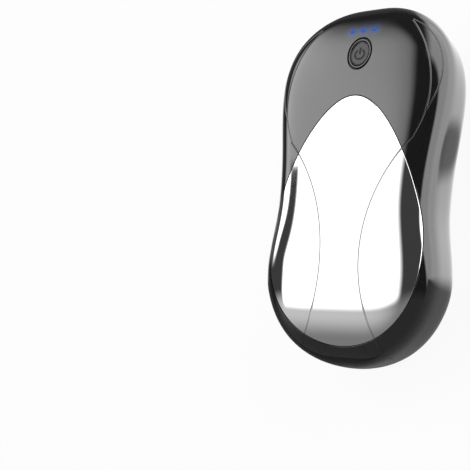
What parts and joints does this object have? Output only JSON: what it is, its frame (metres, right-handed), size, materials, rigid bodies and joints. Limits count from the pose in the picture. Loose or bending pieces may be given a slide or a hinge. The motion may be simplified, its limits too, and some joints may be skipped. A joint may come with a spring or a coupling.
{
  "type": "rechargeable hand warmer",
  "caption": "Pocket-sized rechargeable hand warmer with an hourglass black body, a mirror-bright teardrop heat panel, an oval power button and small charge lights on its head.",
  "frame": {"origin": "middle of the resting flat on the back, under the middle of the body's length", "axes": "+Z out of the front with the heat panel, +Y towards the head with the button and the sockets, X across the width"},
  "size_m": [0.0538, 0.1077, 0.0311],
  "materials": {
    "gloss_black": "high-gloss moulded black",
    "panel_mirror": "mirror-polished",
    "tape_amber": "thin adhesive tape",
    "film_amber": "amber polyimide film with etched tracks",
    "foam_grey": "closed-cell foam",
    "bead_green": "dipped bead",
    "screw_steel": "plated steel",
    "ring_dark": "satin dark grey",
    "button_dark": "glossy dark grey",
    "switch_black": "moulded black",
    "plunger_brown": "moulded",
    "board_green": "solder-masked laminate",
    "guide_clear": "clear moulded plastic",
    "light_chip": "white package",
    "link_black": "moulded strip with metal pins",
    "port_steel": "plated steel",
    "tongue_white": "moulded white",
    "tongue_black": "moulded black",
    "coil_ferrite": "sintered ferrite",
    "chip_black": "moulded resin",
    "cap_aluminium": "drawn can",
    "cell_wrap": "heat-shrunk wrap over a steel can",
    "insulator_paper": "fibre paper",
    "tab_nickel": "nickel strip",
    "lead_red": "insulated wire",
    "lead_black": "insulated wire"
  },
  "bodies": {
    "housing": {"front_cover": "gloss_black", "back_cover": "gloss_black", "heat_panel": "panel_mirror", "panel_tape": "tape_amber", "heater_film": "film_amber", "foam_pad": "foam_grey", "thermistor": "bead_green", "cover_screws": "screw_steel", "button_ring": "ring_dark", "switch_body": "switch_black", "key_board": "board_green", "key_board_screws": "screw_steel", "light_guide": "guide_clear", "indicator_lights": "light_chip", "board_link": "link_black", "main_board": "board_green", "main_board_screws": "screw_steel", "output_shell": "port_steel", "output_tongue": "tongue_white", "inlet_shell": "port_steel", "inlet_tongue": "tongue_black", "power_coil": "coil_ferrite", "control_chips": "chip_black", "smoothing_caps": "cap_aluminium", "cell_left": "cell_wrap", "cell_right": "cell_wrap", "cell_insulators": "insulator_paper", "cell_tabs": "tab_nickel", "lead_positive": "lead_red", "lead_negative": "lead_black"},
    "button": {"power_button": "button_dark", "switch_plunger": "plunger_brown"}
  },
  "joints": [
    {"name": "button_press", "type": "slide", "parent": "housing", "child": "button", "axis": [0, 0.1638, 0.9865], "range_m": [-0.0004, 0], "stiffness_N_per_m": 2500}
  ]
}
